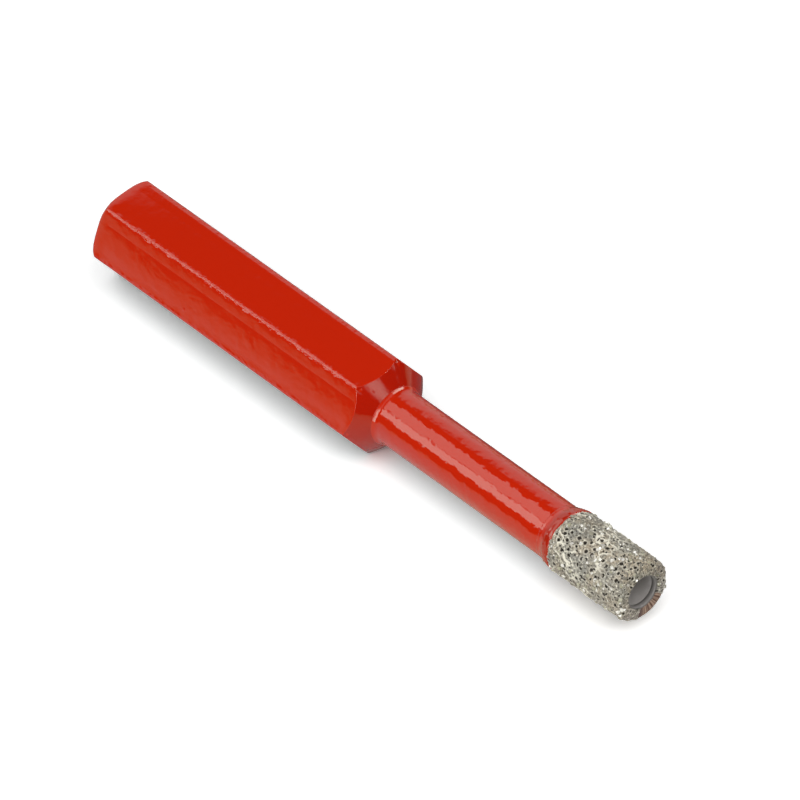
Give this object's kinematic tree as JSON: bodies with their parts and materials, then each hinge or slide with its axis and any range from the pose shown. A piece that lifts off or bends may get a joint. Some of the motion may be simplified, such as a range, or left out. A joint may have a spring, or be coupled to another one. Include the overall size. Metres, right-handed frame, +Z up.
{
  "type": "diamond drill bit",
  "caption": "Small dry core drill bit for tiles: painted hexagonal shank with a turned nose, hollow neck and a diamond grit crown.",
  "frame": {"origin": "centre of the shank's flat rear end face, on the tool's axis", "axes": "+X along the tool's axis towards the diamond crown, +Z up from the flat that the shank lies on, +Y towards a corner of the hexagon"},
  "size_m": [0.0658, 0.0092, 0.008],
  "materials": {
    "red_paint": "thick glossy red paint over steel",
    "diamond_grit": "coarse brazed grit, matt and sparkling"
  },
  "bodies": {
    "root": {"shank_body": "red_paint", "diamond_crown": "diamond_grit"}
  },
  "joints": []
}
